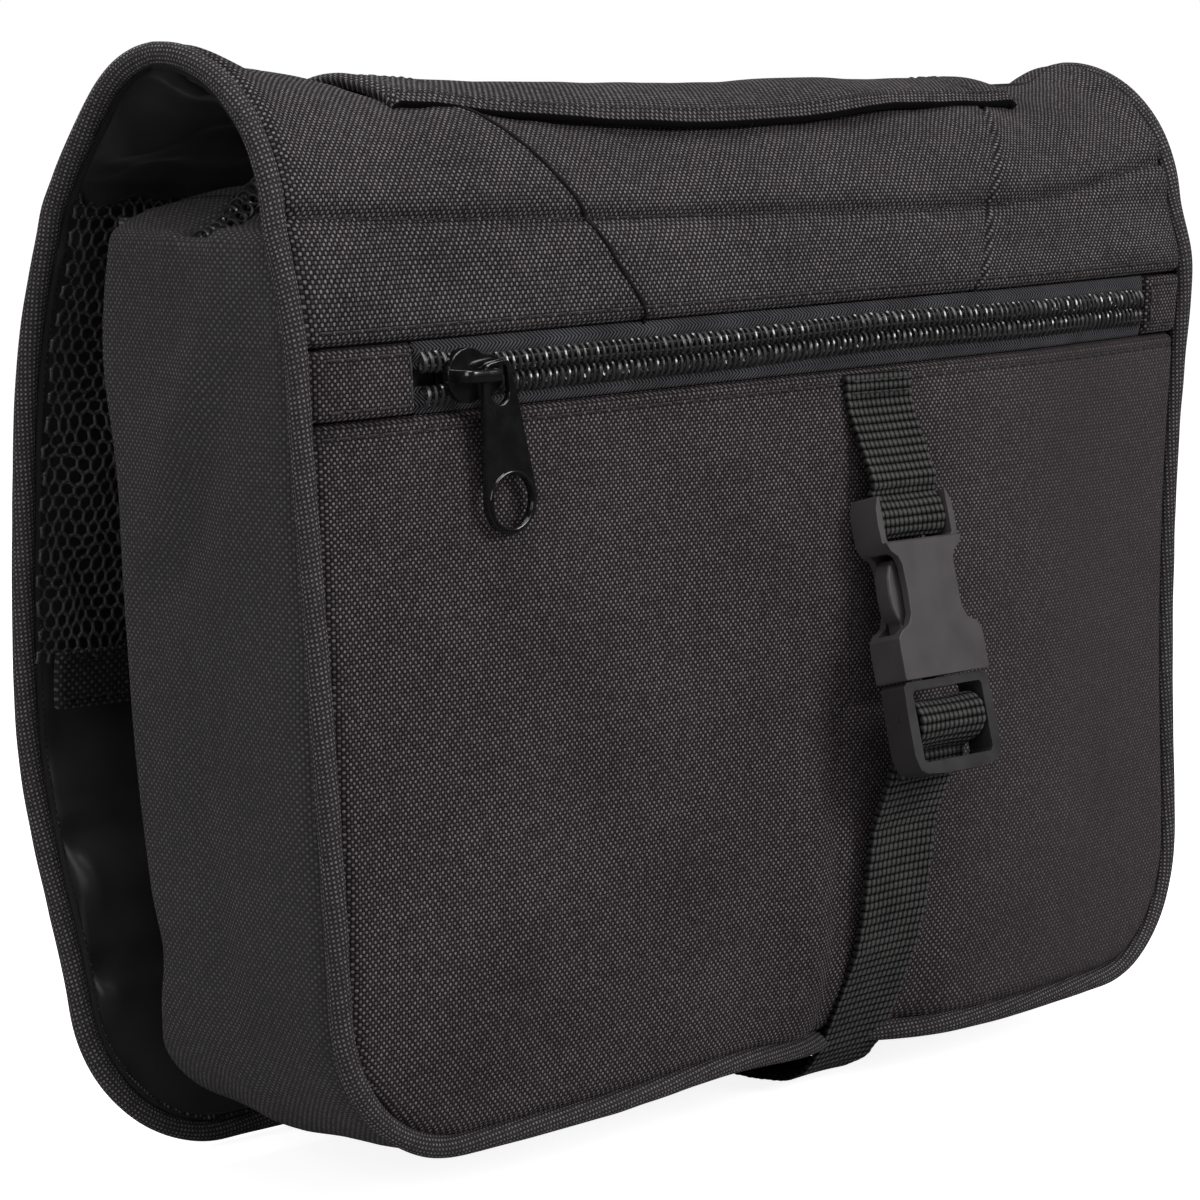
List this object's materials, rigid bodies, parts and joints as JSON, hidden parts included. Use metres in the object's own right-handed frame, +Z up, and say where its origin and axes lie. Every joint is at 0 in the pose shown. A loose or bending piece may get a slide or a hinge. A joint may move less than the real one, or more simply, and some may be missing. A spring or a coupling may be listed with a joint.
{
  "type": "hanging toiletry bag",
  "caption": "Fold-over hanging toiletry bag with a zipped gusset pouch, outer zip pocket, mesh pocket, carry handle and a side-release buckle strap.",
  "frame": {"origin": "middle of the bounding box's underside, bag standing shut", "axes": "+X along the width (the front's right as seen from the front), -Y out of the front, +Z up"},
  "size_m": [0.275, 0.1136, 0.22],
  "materials": {
    "oxford": "black polyester oxford cloth, basket weave, matt",
    "oxford_gusset": "black polyester oxford cloth of the pouch",
    "satin_lining": "black satin nylon lining, wrinkled",
    "zip_tape": "black herringbone zip tape",
    "zip_coil": "glossy black nylon coil",
    "zip_metal": "glossy black enamel",
    "piping": "black cloth-covered piping",
    "webbing": "black ribbed polypropylene webbing",
    "buckle_plastic": "moulded black acetal, fine spark texture",
    "net": "black hexagonal polyester net"
  },
  "bodies": {
    "front": {"front_panel": "oxford", "front_yoke": "oxford", "zip_end_patch_left": "oxford", "zip_end_patch_right": "oxford", "front_zip_tape_lower": "zip_tape", "front_zip_tape_upper": "zip_tape", "front_zip_coil_lower": "zip_coil", "front_zip_coil_upper": "zip_coil", "front_pocket_bag": "satin_lining", "front_lining": "satin_lining", "front_piping": "piping", "pouch_gusset": "oxford_gusset", "pouch_back_wall": "oxford_gusset", "pouch_top_front": "oxford_gusset", "pouch_top_rear": "oxford_gusset", "pouch_zip_tape_front": "zip_tape", "pouch_zip_tape_rear": "zip_tape", "pouch_zip_coil_front": "zip_coil", "pouch_zip_coil_rear": "zip_coil", "upper_strap": "webbing", "buckle_female": "buckle_plastic"},
    "spine": {"spine_panel": "oxford", "spine_lining": "satin_lining", "spine_piping_left": "piping", "spine_piping_right": "piping", "handle_tab_left": "oxford", "handle_tab_right": "oxford"},
    "handle": {"handle_strap": "oxford"},
    "back": {"back_panel": "oxford", "back_lining": "satin_lining", "back_piping": "piping", "mesh_pocket": "net", "mesh_pocket_band": "webbing", "strap_anchor": "webbing", "hook_tab": "webbing"},
    "hook": {"hang_hook": "zip_metal"},
    "front_slider": {"front_zip_slider": "zip_metal"},
    "front_pull": {"front_zip_pull": "zip_metal"},
    "pouch_slider": {"pouch_zip_slider": "zip_metal"},
    "pouch_pull": {"pouch_zip_pull": "zip_metal"},
    "buckle_male": {"buckle_male_frame": "buckle_plastic", "closure_strap": "webbing"},
    "arm_left": {"male_arm_left": "buckle_plastic"},
    "arm_right": {"male_arm_right": "buckle_plastic"}
  },
  "joints": [
    {"name": "fold_front", "type": "hinge", "parent": "front", "child": "spine", "pos_m": [0, -0.02831, 0.20596], "axis": [1, 0, 0], "range_deg": [0, 90]},
    {"name": "fold_back", "type": "hinge", "parent": "spine", "child": "back", "pos_m": [0, 0.04169, 0.20596], "axis": [1, 0, 0], "range_deg": [0, 90]},
    {"name": "hook_swing", "type": "hinge", "parent": "back", "child": "hook", "pos_m": [0, 0.03289, 0.00896], "axis": [1, 0, 0], "range_deg": [0, 180]},
    {"name": "handle_lift", "type": "slide", "parent": "spine", "child": "handle", "axis": [0, 0, 1], "range_m": [0, 0.012]},
    {"name": "front_zip_slide", "type": "slide", "parent": "front", "child": "front_slider", "axis": [0.9998, 0, 0.018], "range_m": [0, 0.205]},
    {"name": "front_pull_swing", "type": "hinge", "parent": "front_slider", "child": "front_pull", "pos_m": [-0.09195, -0.03794, 0.15823], "axis": [0, -1, 0], "range_deg": [-35, 80]},
    {"name": "pouch_zip_slide", "type": "slide", "parent": "front", "child": "pouch_slider", "axis": [-1, 0, 0], "range_m": [0, 0.18]},
    {"name": "pouch_pull_lift", "type": "hinge", "parent": "pouch_slider", "child": "pouch_pull", "pos_m": [0.09345, -0.00631, 0.19626], "axis": [0, 1, 0], "range_deg": [0, 10]},
    {"name": "buckle_release", "type": "slide", "parent": "front", "child": "buckle_male", "axis": [0, -0.2419, -0.9703], "range_m": [0, 0.03]},
    {"name": "squeeze_left", "type": "hinge", "parent": "buckle_male", "child": "arm_left", "pos_m": [0.0129, -0.04889, 0.09137], "axis": [0, 0.9703, -0.2419], "range_deg": [0, 7]},
    {"name": "squeeze_right", "type": "hinge", "parent": "buckle_male", "child": "arm_right", "pos_m": [0.0291, -0.04889, 0.09137], "axis": [0, 0.9703, -0.2419], "range_deg": [-7, 0]}
  ],
  "couplings": [
    {"joint": "fold_back", "follows": "fold_front", "ratio": 1},
    {"joint": "hook_swing", "follows": "fold_front", "ratio": 2},
    {"joint": "squeeze_right", "follows": "squeeze_left", "ratio": -1}
  ]
}
